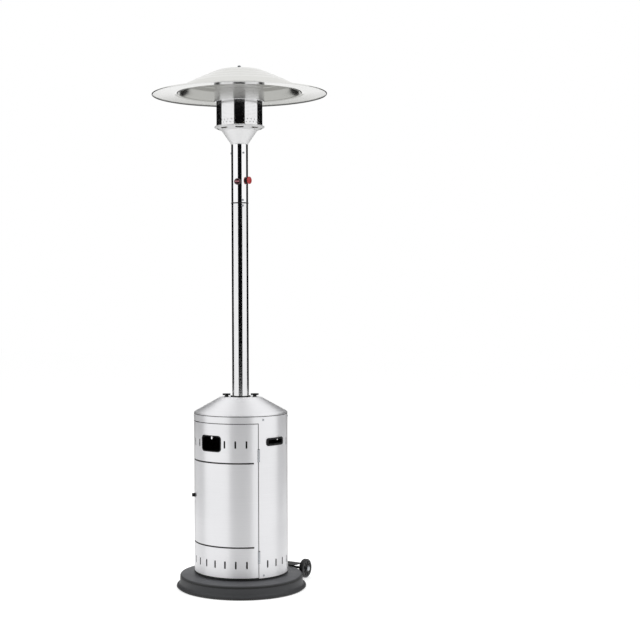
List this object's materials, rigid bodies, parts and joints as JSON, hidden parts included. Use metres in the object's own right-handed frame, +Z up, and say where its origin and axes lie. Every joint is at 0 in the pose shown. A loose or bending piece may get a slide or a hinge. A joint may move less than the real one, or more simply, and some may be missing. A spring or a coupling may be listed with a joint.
{
  "type": "mushroom patio heater",
  "caption": "Free-standing gas patio heater with a round housing and door for the bottle, a lowerable mast, a burner head and a dished reflector.",
  "frame": {"origin": "on the floor under the mast's axis, at the centre of the base", "axes": "+Z up along the mast, -Y out through the centre of the housing's door, the wheels on the +Y side"},
  "size_m": [0.73, 0.73, 2.1689],
  "materials": {
    "brushed_housing": "brushed",
    "polished_mast": "polished",
    "head_stainless": "polished",
    "reflector_aluminium": "satin",
    "base_plastic": "fine texture",
    "black_plastic": "satin",
    "wheel_plastic": "gloss",
    "bracket_paint": "satin black",
    "red_plastic": "gloss",
    "zinc_steel": "zinc plated",
    "cast_ballast": "rough",
    "turned_brass": "turned",
    "pipe_copper": "drawn",
    "burner_steel": "heat tinted"
  },
  "bodies": {
    "housing": {"base_cover": "base_plastic", "base_plate": "zinc_steel", "ballast_slab": "cast_ballast", "base_screws": "zinc_steel", "wheel_bracket": "bracket_paint", "bracket_screws": "zinc_steel", "wheel_axle": "zinc_steel", "axle_caps": "zinc_steel", "housing_shell": "brushed_housing", "shell_feet": "zinc_steel", "shell_screws": "zinc_steel", "hinge_jamb": "brushed_housing", "latch_jamb": "brushed_housing", "strike_plate": "zinc_steel", "side_grips": "black_plastic", "housing_top": "brushed_housing", "mast_plate": "zinc_steel", "guide_collar": "black_plastic", "hinge_fixed_leaves": "zinc_steel", "hinge_pins": "zinc_steel"},
    "left_wheel": {"left_wheel": "wheel_plastic"},
    "right_wheel": {"right_wheel": "wheel_plastic"},
    "left_wing_screw": {"left_wing_screw": "black_plastic"},
    "right_wing_screw": {"right_wing_screw": "black_plastic"},
    "door": {"door_panel": "brushed_housing", "window_trim": "black_plastic", "hinge_door_leaves": "zinc_steel", "hinge_screws": "zinc_steel"},
    "latch": {"latch_knob": "black_plastic", "latch_cam": "zinc_steel"},
    "mast": {"mast_tube": "polished_mast", "foot_flange": "zinc_steel", "joint_sleeve": "zinc_steel", "trim_ring": "black_plastic", "control_tube": "polished_mast", "joint_screws": "zinc_steel", "head_screws": "zinc_steel", "valve_body": "turned_brass", "inlet_nipple": "turned_brass", "gas_pipe": "pipe_copper", "igniter_body": "black_plastic", "tilt_switch": "black_plastic", "head_funnel": "head_stainless", "air_ring": "head_stainless", "burner_tray": "burner_steel", "burner_tube": "burner_steel", "burner_plate": "burner_steel", "pilot_burner": "burner_steel", "glow_screen": "head_stainless", "hood_ring": "head_stainless", "hood_cap": "head_stainless", "reflector_studs": "zinc_steel", "reflector": "reflector_aluminium", "reflector_nuts": "zinc_steel"},
    "valve_stem": {"valve_stem": "zinc_steel"},
    "control_knob": {"control_knob": "red_plastic"},
    "igniter_button": {"igniter_button": "red_plastic"}
  },
  "joints": [
    {"name": "mast_slide", "type": "slide", "parent": "housing", "child": "mast", "axis": [0, 0, 1], "range_m": [-0.7, 0]},
    {"name": "door_hinge", "type": "hinge", "parent": "housing", "child": "door", "pos_m": [0.16157, -0.11271, 0.382], "axis": [0, 0, 1], "range_deg": [0, 140]},
    {"name": "latch_turn", "type": "hinge", "parent": "door", "child": "latch", "pos_m": [-0.14298, -0.13333, 0.39], "axis": [-0.7314, -0.682, 0], "range_deg": [-90, 0]},
    {"name": "left_wheel_spin", "type": "hinge", "parent": "housing", "child": "left_wheel", "pos_m": [-0.1495, 0.2755, 0.041], "axis": [1, 0, 0], "continuous": true},
    {"name": "right_wheel_spin", "type": "hinge", "parent": "housing", "child": "right_wheel", "pos_m": [0.1495, 0.2755, 0.041], "axis": [1, 0, 0], "continuous": true},
    {"name": "left_wing_turn", "type": "hinge", "parent": "housing", "child": "left_wing_screw", "pos_m": [-0.04931, -0.03239, 0.8], "axis": [0, 0, 1], "continuous": true},
    {"name": "right_wing_turn", "type": "hinge", "parent": "housing", "child": "right_wing_screw", "pos_m": [0.04931, 0.03239, 0.8], "axis": [0, 0, 1], "continuous": true},
    {"name": "valve_turn", "type": "hinge", "parent": "mast", "child": "valve_stem", "pos_m": [0.01254, -0.03268, 1.6935], "axis": [0.3584, -0.9336, 0], "range_deg": [0, 180]},
    {"name": "knob_push", "type": "slide", "parent": "valve_stem", "child": "control_knob", "axis": [-0.3584, 0.9336, 0], "range_m": [0, 0.004], "stiffness_N_per_m": 500},
    {"name": "igniter_press", "type": "slide", "parent": "mast", "child": "igniter_button", "axis": [-0.9996, 0.0297, 0], "range_m": [0, 0.006], "stiffness_N_per_m": 500}
  ]
}
